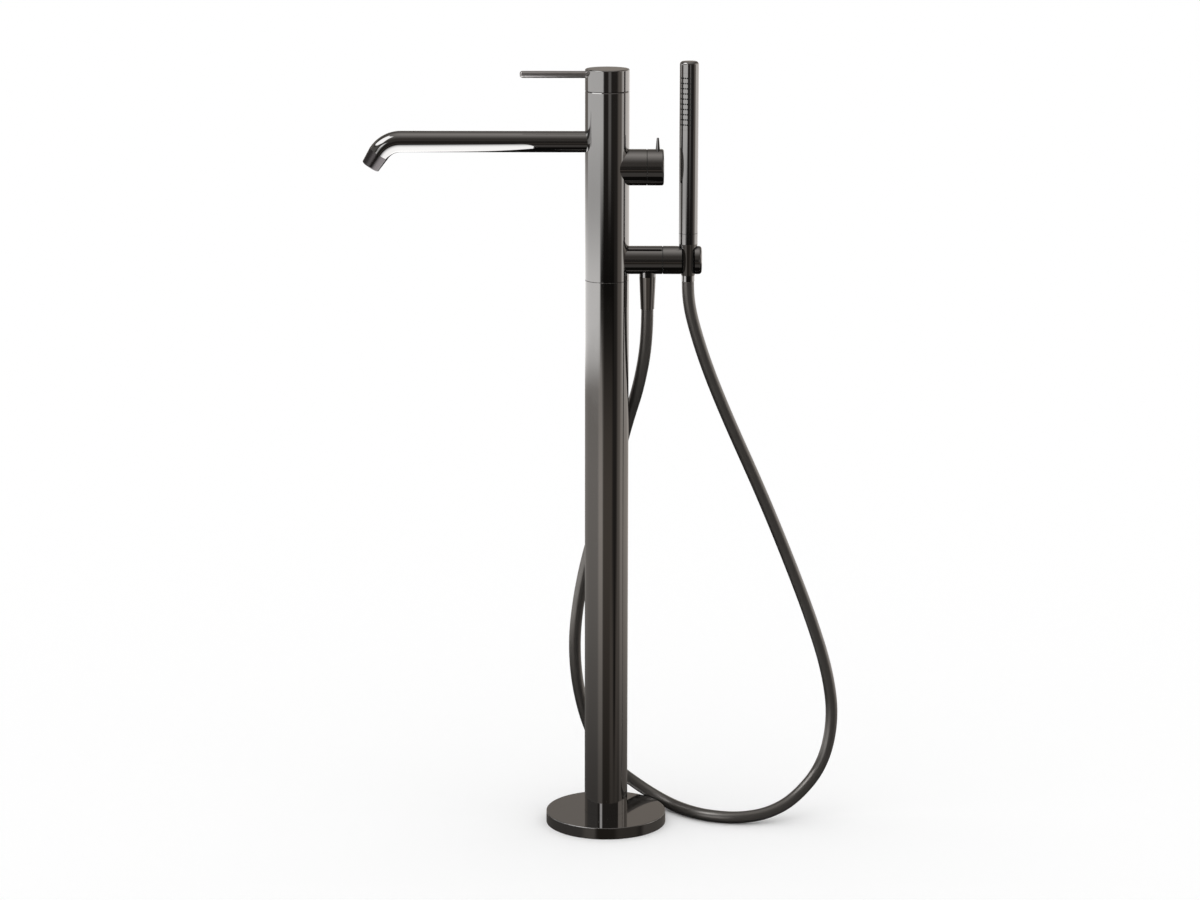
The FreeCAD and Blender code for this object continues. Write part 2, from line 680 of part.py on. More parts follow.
def bent_rod(radius):
    """The spout's straight run and bend as one solid of the given radius."""
    straight = level(radius, 0, SPOUT_STRAIGHT_X, SPOUT_Z)
    corner = V(SPOUT_STRAIGHT_X, 0, SPOUT_Z)
    disc = Part.Face(Part.Wire(Part.Circle(corner, X_AXIS, radius).toShape()))
    bend_centre = corner - Z_AXIS * SPOUT_BEND_R
    bend = disc.revolve(bend_centre, -Y_AXIS, SPOUT_BEND_DEG)
    return straight, bend


def make_spout_tube():
    outer_straight, outer_bend = bent_rod(SPOUT_R)
    inner_straight, inner_bend = bent_rod(SPOUT_BORE_R)
    spout = outer_straight.fuse(outer_bend)
    spout = spout.cut(inner_straight).cut(inner_bend)
    spout = spout.cut(upright(COLUMN_R, SPOUT_Z - SPOUT_D, SPOUT_Z + SPOUT_D))
    return spout.cut(spout_screw_hole())


def make_spout_nipple():
    neck_end = -COLUMN_R - 1
    profile = [
        (NIPPLE_BORE_R, NIPPLE_DEPTH_X + FIT),
        (NIPPLE_R - FIT, NIPPLE_DEPTH_X + FIT),
        (NIPPLE_R - FIT, -neck_end),
        (SPOUT_BORE_R - FIT, -neck_end),
        (SPOUT_BORE_R - FIT, -SPOUT_NIPPLE_END_X),
        (NIPPLE_BORE_R, -SPOUT_NIPPLE_END_X),
    ]
    nipple = turned(profile, V(0, 0, SPOUT_Z), -X_AXIS)
    for x in spout_ring_places():
        inner = SPOUT_BORE_R - RING_GROOVE_DEPTH
        nipple = nipple.cut(level_tube(SPOUT_BORE_R, inner, x, x + RING_GROOVE_W, SPOUT_Z))
    return nipple.cut(spout_screw_hole())


def spout_ring_places():
    return (SPOUT_NIPPLE_END_X + 2, SPOUT_NIPPLE_END_X + 2.5 * RING_GROOVE_W)


def make_spout_o_rings():
    rings = []
    for x in spout_ring_places():
        outer = SPOUT_BORE_R - RUN
        inner = SPOUT_BORE_R - RING_GROOVE_DEPTH + RUN
        rings.append(level_tube(outer, inner, x + FIT, x + RING_GROOVE_W - FIT, SPOUT_Z))
    return Part.makeCompound(rings)


def spout_screw_place():
    return V(-COLUMN_R - 7, 0, SPOUT_Z - SPOUT_BORE_R + 2)


def spout_screw_hole():
    tip = spout_screw_place()
    return rod(SET_SCREW_R + FIT, tip + Z_AXIS * FIT, tip - Z_AXIS * SPOUT_R)


def make_spout_set_screw():
    return set_screw(spout_screw_place(), -Z_AXIS, SPOUT_WALL + 1.5)


def make_aerator_housing():
    centre, direction = spout_end()
    spigot_r = SPOUT_BORE_R - 0.7
    profile = [
        (AERATOR_THROAT_R, -5),
        (spigot_r, -5),
        (spigot_r, 0),
        (SPOUT_R, 0),
        (AERATOR_TIP_D / 2, AERATOR_LENGTH),
        (AERATOR_BORE_R, AERATOR_LENGTH),
        (AERATOR_BORE_R, AERATOR_LENGTH - AERATOR_SEAT),
        (AERATOR_THROAT_R, AERATOR_LENGTH - AERATOR_SEAT),
    ]
    housing = turned(profile, centre, direction)
    tip = centre + direction * AERATOR_LENGTH
    return rounded(housing, AERATOR_EDGE_R, tip, AERATOR_TIP_D / 2)


def make_aerator_insert():
    """The jet former in the spout's mouth, with rings of holes."""
    centre, direction = spout_end()
    outer = AERATOR_BORE_R - FIT
    face = AERATOR_LENGTH - 1
    profile = [
        (0, face - 3),
        (outer - AERATOR_STEP, face - 3),
        (outer - AERATOR_STEP, face - JET_FORMER_H),
        (outer, face - JET_FORMER_H),
        (outer, face),
        (0, face),
    ]
    insert = turned(profile, centre, direction)
    across = direction.cross(Y_AXIS)
    for count, pitch_r in ((1, 0.0), (6, 4.2)):
        for index in range(count):
            angle = 2 * math.pi * index / count
            offset = (across * math.cos(angle) + Y_AXIS * math.sin(angle)) * pitch_r
            start = centre + offset + direction * (face - 4)
            insert = insert.cut(rod(1.4, start, start + direction * 6))
    return insert


def make_aerator_seal():
    centre, direction = spout_end()
    low = AERATOR_LENGTH - AERATOR_SEAT
    high = AERATOR_LENGTH - 1 - JET_FORMER_H - FIT
    outer = AERATOR_BORE_R - FIT
    inner = AERATOR_THROAT_R
    profile = [(inner, low), (outer, low), (outer, high), (inner, high)]
    return turned(profile, centre, direction)


# ---- diverter ----------------------------------------------------------------------------------


def make_diverter_neck():
    profile = [
        (SEAT_R, 0),
        (DIVERTER_R, 0),
        (DIVERTER_R, DIVERTER_NECK_X),
        (DIVERTER_R - DIVERTER_WALL, DIVERTER_NECK_X),
        (DIVERTER_R - DIVERTER_WALL, DIVERTER_NECK_X - 4),
        (SEAT_R, DIVERTER_NECK_X - 4),
    ]
    neck = turned(profile, V(0, 0, DIVERTER_Z), X_AXIS)
    return neck.cut(upright(COLUMN_R, DIVERTER_Z - DIVERTER_D, DIVERTER_Z + DIVERTER_D))


def make_diverter_cartridge():
    end = DIVERTER_NECK_X - 4
    profile = [
        (0, CHAMBER_START_X),
        (CHAMBER_R - FIT, CHAMBER_START_X),
        (CHAMBER_R - FIT, SEAT_X + FIT),
        (SEAT_R - FIT, SEAT_X + FIT),
        (SEAT_R - FIT, end),
        (0, end),
    ]
    body = turned(profile, V(0, 0, DIVERTER_Z), X_AXIS)
    body = body.cut(level(SPINDLE_R + RUN, CHAMBER_START_X, end, DIVERTER_Z))
    ports = upright(PORT_R, DIVERTER_Z - CHAMBER_R, DIVERTER_Z + CHAMBER_R, MIXED_X)
    return body.cut(ports)


def make_diverter_spindle():
    """The turning spool. Its hollow end joins one port at a time to the spout's channel."""
    end = DIVERTER_END_X - DIVERTER_WALL - 3
    spindle = level(SPINDLE_R, CHAMBER_START_X + 1, end, DIVERTER_Z)
    bore = level(SPINDLE_BORE_R, CHAMBER_START_X + 1, MIXED_X + PORT_R, DIVERTER_Z)
    spindle = spindle.cut(bore)
    port = upright(SPINDLE_BORE_R, DIVERTER_Z, DIVERTER_Z + SPINDLE_R, MIXED_X)
    return spindle.cut(port)


def make_diverter_knob():
    wall_r = DIVERTER_R - DIVERTER_WALL
    cap_x = DIVERTER_END_X - DIVERTER_WALL - 3
    knob = level(DIVERTER_R, DIVERTER_KNOB_X, DIVERTER_END_X, DIVERTER_Z)
    knob = rounded(knob, DIVERTER_EDGE_R, V(DIVERTER_END_X, 0, DIVERTER_Z), DIVERTER_R)
    knob = knob.cut(level_tube(wall_r, SPINDLE_R + 4, DIVERTER_KNOB_X, cap_x, DIVERTER_Z))
    knob = knob.cut(level(SPINDLE_R + FIT, DIVERTER_KNOB_X, cap_x + FIT, DIVERTER_Z))
    pin_low = DIVERTER_Z + wall_r + FIT
    pin_hole = upright(
        DIVERTER_PIN_BASE_D / 2 + FIT, pin_low - 1, DIVERTER_Z + DIVERTER_R, DIVERTER_PIN_X
    )
    knob = knob.cut(pin_hole)
    screw_hole = upright(
        SET_SCREW_R + FIT, DIVERTER_Z - DIVERTER_R, DIVERTER_Z - SPINDLE_R, knob_screw_x()
    )
    return knob.cut(screw_hole)


def knob_screw_x():
    return (DIVERTER_KNOB_X + DIVERTER_PIN_X) / 2


def make_knob_set_screw():
    tip = V(knob_screw_x(), 0, DIVERTER_Z - SPINDLE_R - FIT)
    return set_screw(tip, -Z_AXIS, KNOB_SCREW_LENGTH)


def make_diverter_pin():
    low = DIVERTER_Z + DIVERTER_R - DIVERTER_WALL
    surface = DIVERTER_Z + DIVERTER_R
    profile = [
        (0, low),
        (DIVERTER_PIN_BASE_D / 2, low),
        (DIVERTER_PIN_BASE_D / 2, surface),
        (DIVERTER_PIN_TIP_D / 2, surface + DIVERTER_PIN_LENGTH),
        (0, surface + DIVERTER_PIN_LENGTH),
    ]
    pin = turned(profile, V(DIVERTER_PIN_X, 0, 0))
    top = V(DIVERTER_PIN_X, 0, surface + DIVERTER_PIN_LENGTH)
    return rounded(pin, DIVERTER_PIN_TIP_D / 5, top, DIVERTER_PIN_TIP_D / 2)


# ---- outlet arm and handset holder -------------------------------------------------------------


def make_outlet_arm():
    arm = level(ARM_R, 0, ARM_END_X, ARM_Z)
    arm = arm.fuse(upright(OUTLET_BOSS_D / 2, OUTLET_BOSS_Z, ARM_Z, OUTLET_X))
    arm = arm.cut(upright(COLUMN_R, ARM_Z - ARM_D, ARM_Z + ARM_D))
    arm = arm.cut(level(ARM_CHAMBER_R, 0, ARM_CHAMBER_X, ARM_Z))
    arm = arm.cut(level(HOLDER_SPINDLE_R + RUN, 0, ARM_END_X, ARM_Z))
    arm = arm.cut(upright(HOSE_THREAD_R + FIT, OUTLET_BOSS_Z, OUTLET_SEAT_Z, OUTLET_X))
    return arm.cut(upright(NIPPLE_BORE_R, OUTLET_BOSS_Z, ARM_Z, OUTLET_X))


def make_arm_nipple():
    outer = NIPPLE_R - FIT
    return level_tube(outer, NIPPLE_BORE_R, NIPPLE_DEPTH_X + FIT, COLUMN_R + 9, ARM_Z)


def make_hose_outlet_nipple():
    low = HOSE_WASHER_Z + WASHER_T
    return tube(HOSE_THREAD_R, NIPPLE_BORE_R, low, OUTLET_SEAT_Z, OUTLET_X)


def make_check_valve():
    """Non-return valve in the nipple: a sleeve with a stopper held on three ribs."""
    outer = NIPPLE_BORE_R - FIT
    low = HOSE_WASHER_Z + 2 * WASHER_T
    sleeve = tube(outer, outer - 1.2, low, low + 12, OUTLET_X)
    stopper = upright(outer - 2.4, low + 4, low + 8, OUTLET_X)
    ribs = []
    for index in range(3):
        rib = box(0, outer - 1.2 + FIT, -0.6, 0.6, low + 5, low + 7)
        rib.rotate(ORIGIN, Z_AXIS, 120 * index)
        rib.translate(V(OUTLET_X, 0, 0))
        ribs.append(rib)
    return sleeve.multiFuse([stopper] + ribs).removeSplitter()


def make_hose_nut():
    profile = [
        (HOSE_THREAD_R + FIT, HOSE_NUT_TOP_Z),
        (OUTLET_BOSS_D / 2, HOSE_NUT_TOP_Z),
        (HOSE_NUT_BOTTOM_D / 2, HOSE_NUT_BOTTOM_Z),
        (NIPPLE_BORE_R, HOSE_NUT_BOTTOM_Z),
        (NIPPLE_BORE_R, HOSE_WASHER_Z),
        (HOSE_THREAD_R + FIT, HOSE_WASHER_Z),
    ]
    return turned(profile, V(OUTLET_X, 0, 0))


def make_hose_washer():
    return tube(HOSE_THREAD_R, NIPPLE_BORE_R, HOSE_WASHER_Z, HOSE_WASHER_Z + WASHER_T, OUTLET_X)


def make_holder_spindle():
    spindle = level(HOLDER_SPINDLE_R, CLIP_X - 2, HOLDER_SPINDLE_END_X, ARM_Z)
    inner = HOLDER_SPINDLE_R - RING_GROOVE_DEPTH
    outer = HOLDER_SPINDLE_R + 1
    for x, width in ((SPINDLE_SEAL_X, RING_GROOVE_W), (CLIP_X, CLIP_T)):
        spindle = spindle.cut(level_tube(outer, inner, x, x + width, ARM_Z))
    return spindle


def make_holder_clip():
    """Open retaining ring on the spindle's inner end."""
    low = CLIP_X + RUN
    high = CLIP_X + CLIP_T - RUN
    inner = HOLDER_SPINDLE_R - RING_GROOVE_DEPTH + RUN
    ring = level_tube(HOLDER_SPINDLE_R + 2, inner, low, high, ARM_Z)
    mouth = HOLDER_SPINDLE_R / 4
    return ring.cut(box(low, high, -mouth, mouth, ARM_Z, ARM_Z + ARM_R))


def make_spindle_seal():
    low = SPINDLE_SEAL_X + FIT
    high = SPINDLE_SEAL_X + RING_GROOVE_W - FIT
    inner = HOLDER_SPINDLE_R - RING_GROOVE_DEPTH + RUN
    return level_tube(HOLDER_SPINDLE_R, inner, low, high, ARM_Z)


def make_friction_washer():
    return level_tube(ARM_R - 2, HOLDER_SPINDLE_R + CLEAR, ARM_END_X, CRADLE_X - FIT, ARM_Z)


def hose_slot():
    half = HOSE_SLOT_W / 2
    low = ARM_Z - ARM_D
    high = ARM_Z + ARM_D
    return box(HANDSET_X - half, HANDSET_X + half, -ARM_D, 0, low, high)


def make_holder_cradle():
    cradle = level(ARM_R, CRADLE_X, CRADLE_END_X, ARM_Z)
    cradle = rounded(cradle, CRADLE_EDGE_R, V(CRADLE_END_X, 0, ARM_Z), ARM_R)
    gap = CLEAR + LINER_T + FIT
    cradle = cradle.cut(cone_around_nut(gap, CONE_BOTTOM_Z, CONE_TOP_Z))
    cradle = cradle.cut(hose_slot())
    return cradle.cut(level(HOLDER_SPINDLE_R + FIT, CRADLE_X, HOLDER_SPINDLE_END_X + FIT, ARM_Z))


def make_holder_liner():
    """Tapered plastic sleeve in the holder, open at the front for the hose."""
    low = CONE_BOTTOM_Z + 1.5
    high = ARM_Z + ARM_R - 0.5
    sleeve = cone_around_nut(CLEAR + LINER_T, low, high)
    sleeve = sleeve.cut(cone_around_nut(CLEAR, low, high))
    sleeve = sleeve.cut(hose_slot())
    return sleeve.common(level(ARM_R - 0.5, CRADLE_X, CRADLE_END_X, ARM_Z))


# ---- hose --------------------------------------------------------------------------------------

# Centre line of the hose between its two ends, drawn for an outlet nut that ends at HOSE_DRAWN_Z.
HOSE_ROUTE = [
    (37, 12, 519),
    (24, 30, 474),
    (12, 41, 424),
    (-3, 46, 372),
    (-20, 47, 318),
    (-32, 45, 262),
    (-38, 45, 206),
    (-34, 50, 150),
    (-20, 57, 94),
    (4, 69, 48),
    (41, 64, 21),
    (71, 45, 8),
    (96, 14, HOSE_LIE_Z),
    (122, -5, HOSE_LIE_Z),
    (156, -13, HOSE_LIE_Z),
    (191, -7, 11),
    (223, 9, 24),
    (256, 24, 60),
    (268, 29, 116),
    (260, 25, 175),
    (239, 18, 242),
    (210, 13, 318),
    (178, 8, 396),
    (142, 4, 476),
    (118, 1, 534),
    (102, 0, 581),
]


def hose_points():
    """The route from the outlet nut to the ferrule. Its heights follow the nut's."""
    share = (HOSE_NUT_BOTTOM_Z - HOSE_LIE_Z) / (HOSE_DRAWN_Z - HOSE_LIE_Z)
    start = [V(OUTLET_X, 0, HOSE_NUT_BOTTOM_Z), V(OUTLET_X, 0, HOSE_NUT_BOTTOM_Z - 37)]
    end = [V(HANDSET_X, 0, HOSE_FERRULE_Z - 22), V(HANDSET_X, 0, HOSE_FERRULE_Z)]
    middle = [V(x, y, HOSE_LIE_Z + share * (z - HOSE_LIE_Z)) for x, y, z in HOSE_ROUTE]
    return start + middle + end


def hose_path(points):
    """Straight runs joined by tangent arcs, each as large as its two runs allow."""
    edges = []
    radii = []
    last = points[0]
    for before, corner, after in zip(points, points[1:], points[2:]):
        back = before - corner
        ahead = after - corner
        setback = HOSE_ARC_SHARE * min(back.Length, ahead.Length)
        turn = math.pi - back.getAngle(ahead)
        radii.append(setback / math.tan(turn / 2))
        back.normalize()
        ahead.normalize()
        start = corner + back * setback
        end = corner + ahead * setback
        bisector = (back + ahead).normalize()
        to_centre = radii[-1] / math.cos(turn / 2)
        middle = corner + bisector * (to_centre - radii[-1])
        edges.append(Part.LineSegment(last, start).toShape())
        edges.append(Part.Arc(start, middle, end).toShape())
        last = end
    edges.append(Part.LineSegment(last, points[-1]).toShape())
    return Part.Wire(edges), radii


def make_shower_hose():
    points = hose_points()
    path, radii = hose_path(points)
    ring = Part.Wire(Part.Circle(points[0], points[1] - points[0], HOSE_D / 2).toShape())
    hose = path.makePipeShell([ring], True, False)
    section = math.pi * HOSE_D**2 / 4
    print("hose arc radii:", [round(radius) for radius in radii])
    print(f"hose length {path.Length:.0f} mm, volume / (section x length)",
          round(hose.Volume / (section * path.Length), 4))
    return hose


def make_hose_ferrule():
    """Crimped end of the hose, whose flange turns inside the cone nut."""
    bore = NIPPLE_BORE_R - 1.5
    stem_r = NIPPLE_BORE_R
    profile = [
        (bore, HOSE_FERRULE_Z),
        (HOSE_D / 2 + FERRULE_LIP, HOSE_FERRULE_Z),
        (HOSE_D / 2 + FERRULE_LIP, CONE_BOTTOM_Z - CLEAR),
        (stem_r, CONE_BOTTOM_Z - CLEAR),
        (stem_r, FERRULE_FLANGE_Z),
        (HOSE_THREAD_R - FIT, FERRULE_FLANGE_Z),
        (HOSE_THREAD_R - FIT, HANDSET_WASHER_Z - FIT),
        (bore, HANDSET_WASHER_Z - FIT),
    ]
    return turned(profile, V(HANDSET_X, 0, 0))


# ---- handset -----------------------------------------------------------------------------------


def make_cone_nut():
    profile = [
        (NIPPLE_BORE_R + FIT, CONE_BOTTOM_Z),
        (CONE_BOTTOM_D / 2, CONE_BOTTOM_Z),
        (HANDSET_R, CONE_TOP_Z),
        (HANDSET_R, HANDSET_JOINT_Z),
        (HOSE_THREAD_R + FIT, HANDSET_JOINT_Z),
        (HOSE_THREAD_R + FIT, FERRULE_FLANGE_Z - FIT),
        (NIPPLE_BORE_R + FIT, FERRULE_FLANGE_Z - FIT),
    ]
    return turned(profile, V(HANDSET_X, 0, 0))


def make_handset_washer():
    high = HANDSET_WASHER_Z + WASHER_T
    return tube(HOSE_THREAD_R, NIPPLE_BORE_R - 1, HANDSET_WASHER_Z, high, HANDSET_X)


def make_handset_inlet():
    low = HANDSET_WASHER_Z + WASHER_T + FIT
    bore = NIPPLE_BORE_R - 1
    step = HANDSET_JOINT_Z + HANDSET_SEAM
    profile = [
        (bore, low),
        (HOSE_THREAD_R, low),
        (HOSE_THREAD_R, step),
        (HANDSET_BORE_R - FIT, step),
        (HANDSET_BORE_R - FIT, step + 14),
        (bore, step + 14),
    ]
    return turned(profile, V(HANDSET_X, 0, 0))


def make_flow_limiter():
    low = HANDSET_WASHER_Z + 2 * WASHER_T
    outer = NIPPLE_BORE_R - 1 - FIT
    disc = upright(outer, low, low + 3, HANDSET_X)
    disc = disc.cut(upright(1.2, low, low + 3, HANDSET_X))
    return disc.cut(tube(outer - 0.8, 2.0, low + 1.5, low + 3, HANDSET_X))


def spray_sector(outer, inner, gap):
    """The spray face's sector of the handset's wall, smaller all round by a gap."""
    gap_deg = math.degrees(gap / HANDSET_R)
    return sector(
        outer,
        inner,
        SPRAY_LOW_Z + gap,
        SPRAY_HIGH_Z - gap,
        SPRAY_DEG,
        SPRAY_HALF_DEG - gap_deg,
        HANDSET_X,
    )


def make_handset_body():
    low = HANDSET_JOINT_Z + HANDSET_SEAM
    body = upright(HANDSET_R, low, HANDSET_TOP_Z, HANDSET_X)
    body = rounded(body, HANDSET_EDGE_R, V(HANDSET_X, 0, HANDSET_TOP_Z), HANDSET_R)
    body = body.cut(upright(HANDSET_BORE_R, low, HANDSET_TOP_Z - HANDSET_EDGE_R, HANDSET_X))
    return body.cut(spray_sector(HANDSET_R + 1, HANDSET_BORE_R - 1, 0))


def spray_holes():
    """One hole for each jet, in rows across the spray face."""
    axis = V(HANDSET_X, 0, 0)
    holes = []
    for row in range(SPRAY_ROWS):
        z = SPRAY_LOW_Z + SPRAY_MARGIN + row * SPRAY_ROW_PITCH
        for column in range(SPRAY_COLUMNS):
            turn = SPRAY_DEG + (column - (SPRAY_COLUMNS - 1) / 2) * SPRAY_COLUMN_DEG
            outward = V(math.cos(math.radians(turn)), math.sin(math.radians(turn)), 0)
            start = axis + outward * (HANDSET_BORE_R - 1) + V(0, 0, z)
            holes.append(rod(SPRAY_HOLE_R, start, start + outward * (HANDSET_WALL + 2)))
    return Part.makeCompound(holes)


def make_spray_plate():
    return spray_sector(HANDSET_R, HANDSET_BORE_R, FIT).cut(spray_holes())


def make_nozzle_mat():
    return spray_sector(HANDSET_BORE_R - FIT, HANDSET_BORE_R - 1.2, CLEAR)


# ---- write every node --------------------------------------------------------------------------

NODES = {
    "base_cover": make_base_cover,
    "cover_seal": make_cover_seal,
    "floor_flange": make_floor_flange,
    "inlet_block": make_inlet_block,
    "column_tube": make_column_tube,
    "column_set_screws": make_column_screws,
    "hot_supply_pipe": lambda: make_supply_pipe(1),
    "cold_supply_pipe": lambda: make_supply_pipe(-1),
    "body_adapter": make_body_adapter,
    "body_shell": make_body_shell,
    "mixer_core": make_mixer_core,
    "cartridge_seals": make_cartridge_seals,
    "cartridge_body": make_cartridge_body,
    "fixed_disc": make_fixed_disc,
    "control_disc": make_control_disc,
    "cartridge_carrier": make_cartridge_carrier,
    "carrier_pin": make_carrier_pin,
    "cartridge_stem": make_cartridge_stem,
    "cartridge_nut": make_cartridge_nut,
    "dome_ring": make_dome_ring,
    "lever_head": make_lever_head,
    "head_set_screw": make_head_set_screw,
    "lever_pin": make_lever_pin,
    "spout_tube": make_spout_tube,
    "spout_nipple": make_spout_nipple,
    "spout_o_rings": make_spout_o_rings,
    "spout_set_screw": make_spout_set_screw,
    "aerator_housing": make_aerator_housing,
    "aerator_insert": make_aerator_insert,
    "aerator_seal": make_aerator_seal,
    "diverter_neck": make_diverter_neck,
    "diverter_cartridge": make_diverter_cartridge,
    "diverter_spindle": make_diverter_spindle,
    "diverter_knob": make_diverter_knob,
    "knob_set_screw": make_knob_set_screw,
    "diverter_pin": make_diverter_pin,
    "outlet_arm": make_outlet_arm,
    "arm_nipple": make_arm_nipple,
    "hose_outlet_nipple": make_hose_outlet_nipple,
    "check_valve": make_check_valve,
    "hose_nut": make_hose_nut,
    "hose_washer": make_hose_washer,
    "holder_spindle": make_holder_spindle,
    "holder_clip": make_holder_clip,
    "spindle_seal": make_spindle_seal,
    "friction_washer": make_friction_washer,
    "holder_cradle": make_holder_cradle,
    "holder_liner": make_holder_liner,
    "shower_hose": make_shower_hose,
    "hose_ferrule": make_hose_ferrule,
    "cone_nut": make_cone_nut,
    "handset_washer": make_handset_washer,
    "handset_inlet": make_handset_inlet,
    "flow_limiter": make_flow_limiter,
    "handset_body": make_handset_body,
    "spray_plate": make_spray_plate,
    "nozzle_mat": make_nozzle_mat,
}

for node, make in NODES.items():
    write(node, make())
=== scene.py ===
import json
import math

import bmesh
import bpy
from mathutils import Matrix, Vector


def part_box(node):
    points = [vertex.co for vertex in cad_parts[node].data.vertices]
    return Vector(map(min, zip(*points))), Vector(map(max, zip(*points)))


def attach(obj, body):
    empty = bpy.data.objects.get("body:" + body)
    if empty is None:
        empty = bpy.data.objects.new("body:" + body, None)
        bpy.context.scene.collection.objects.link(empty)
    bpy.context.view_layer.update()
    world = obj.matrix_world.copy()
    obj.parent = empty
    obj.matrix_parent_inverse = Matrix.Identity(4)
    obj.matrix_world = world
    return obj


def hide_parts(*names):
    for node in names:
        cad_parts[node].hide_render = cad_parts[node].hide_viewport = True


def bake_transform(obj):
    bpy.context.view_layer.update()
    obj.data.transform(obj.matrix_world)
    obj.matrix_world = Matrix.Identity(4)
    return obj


# A floor standing bath filler in polished dark gunmetal, with a stick handset on a hanging hose.
# Lengths are in metres and angles in degrees unless a name says otherwise. The spout points to -X,
# the handset stands at +X and the viewer stands at -Y. The rigid forms are the frame's own nodes:
# this script gives them their finishes, and makes the hose, the fine pieces and the studio.

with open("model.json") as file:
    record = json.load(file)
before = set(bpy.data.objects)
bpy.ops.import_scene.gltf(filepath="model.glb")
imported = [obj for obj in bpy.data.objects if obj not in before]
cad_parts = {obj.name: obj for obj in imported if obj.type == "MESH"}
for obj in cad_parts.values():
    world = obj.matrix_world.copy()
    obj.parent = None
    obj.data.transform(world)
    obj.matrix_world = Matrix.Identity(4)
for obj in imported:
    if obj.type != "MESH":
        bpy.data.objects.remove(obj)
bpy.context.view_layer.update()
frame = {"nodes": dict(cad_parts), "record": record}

# ---- driving values ----------------------------------------------------------------------------

MM = 0.001

# camera
CAMERA_AT = (-0.0076, -3.7561, 1.2685)
CAMERA_PITCH = 12.348  # below the horizon
CAMERA_ROLL = 0.09
CAMERA_LENS_MM = 100.37
CAMERA_SENSOR_MM = 36
CAMERA_REACH = 100

# hose
HOSE_D = 14 * MM
HOSE_SIDES = 40
HOSE_CURVE_STEPS = 24  # points to each of the spline's spans
HOSE_CUTS_Z = (0.13, 0.44)  # heights in the rise to the holder at which its three lengths meet
HOSE_STRETCH_Z = 0.615  # above this it hangs in the holder's bore
HOSE_POINTS_MM = [
    (46, 0, 611),
    (46, 0, 574),
    (37, 12, 519),
    (24, 30, 474),
    (12, 41, 424),
    (-3, 46, 372),
    (-20, 47, 318),
    (-32, 45, 262),
    (-38, 45, 206),
    (-34, 50, 150),
    (-20, 57, 94),
    (4, 69, 48),
    (41, 64, 21),
    (71, 45, 8),
    (96, 14, 7.1),
    (122, -5, 7.1),
    (156, -13, 7.1),
    (191, -7, 11),
    (223, 9, 24),
    (256, 24, 60),
    (268, 29, 116),
    (260, 25, 175),
    (239, 18, 242),
    (210, 13, 318),
    (178, 8, 396),
    (142, 4, 476),
    (118, 1, 534),
    (102, 0, 581),
    (92, 0, 621),
    (92, 0, 643),
]

# fine pieces
RING_SIDES = 96
RING_RECESS = 0.8 * MM  # from the surface beside a joint down to its slip ring
RING_CLEAR = 0.08 * MM
RING_DEPTH = 3 * MM
RING_SHARP_DEG = 40
SPRAY_ROWS = 10
SPRAY_COLUMNS = 7
SPRAY_ROW_PITCH = 5.82 * MM
SPRAY_MARGIN = 5.8 * MM
SPRAY_COLUMN_DEG = 12.0
SPRAY_TURN_DEG = 25.0  # the spray face looks this far left of the front
NOZZLE_SIDES = 12
NOZZLE_SHARP_DEG = 50
NOZZLE_RINGS_MM = [  # (radius, height above the handset) from its root over its lip into its bore
    (0.72, -0.9),
    (0.72, 0.06),
    (0.612, 0.15),
    (0.39, 0.15),
    (0.3, 0.06),
    (0.3, -0.5),
]

# nodes whose finish differs from their slot's. The aerator's finish is a little darker than the rest,
# and painted shade darkens its colour far past that, standing in for the dark reflections it shows
OWN_FINISHES = {"aerator_housing": "satin_gunmetal_painted_shade", "lever_pin": "brushed_gunmetal"}

# finishes: the scales of their noises in cycles to the metre, the depths of their bumps, and how
# far a noise darkens a colour or changes a gloss
NOISE_MIDDLE = (0.3, 0.7)
METAL_ROUGH = (0.03, 0.07)
METAL_SMEAR_SCALE = 14
METAL_SMEARS = (0.3, 0.75)
METAL_RIPPLE_SCALE = 22
METAL_RIPPLE = 0.004 * MM
METAL_GRAIN_SCALE = 900
METAL_GRAIN = 0.0004 * MM
METAL_TINT_SCALE = 6
METAL_SHADE = 0.93
MOULDED_GRAIN_SCALE = 1200
MOULDED_GRAIN = 0.02 * MM
MOULDED_TINT_SCALE = 60
MOULDED_SHADE = 0.85
MOULDED_GLOSS_SCALE = 90
MOULDED_GLOSS_SPREAD = 0.15
MOULDED_SPECULAR = 0.5
COVER_RIB_PITCH = 2.4 * MM
COVER_RIB = 0.008 * MM
COVER_GRAIN_SCALE = 700
COVER_GRAIN = 0.004 * MM
COVER_TINT_SCALE = 30
COVER_LIGHT = (0.205, 0.195, 0.185)
COVER_DARK = (0.175, 0.167, 0.158)
COVER_METALLIC = 0.9
COVER_GLOSS_SCALE = 60
COVER_ROUGH = (0.29, 0.37)

# studio
FLOOR_SIZE = 40.0

# ---- helpers -----------------------------------------------------------------------------------


def add_mesh(name, vertices, faces, smooth=True):
    mesh = bpy.data.meshes.new(name)
    mesh.from_pydata(vertices, [], faces)
    if smooth:
        mesh.shade_smooth()
    piece = bpy.data.objects.new(name, mesh)
    bpy.context.scene.collection.objects.link(piece)
    return piece


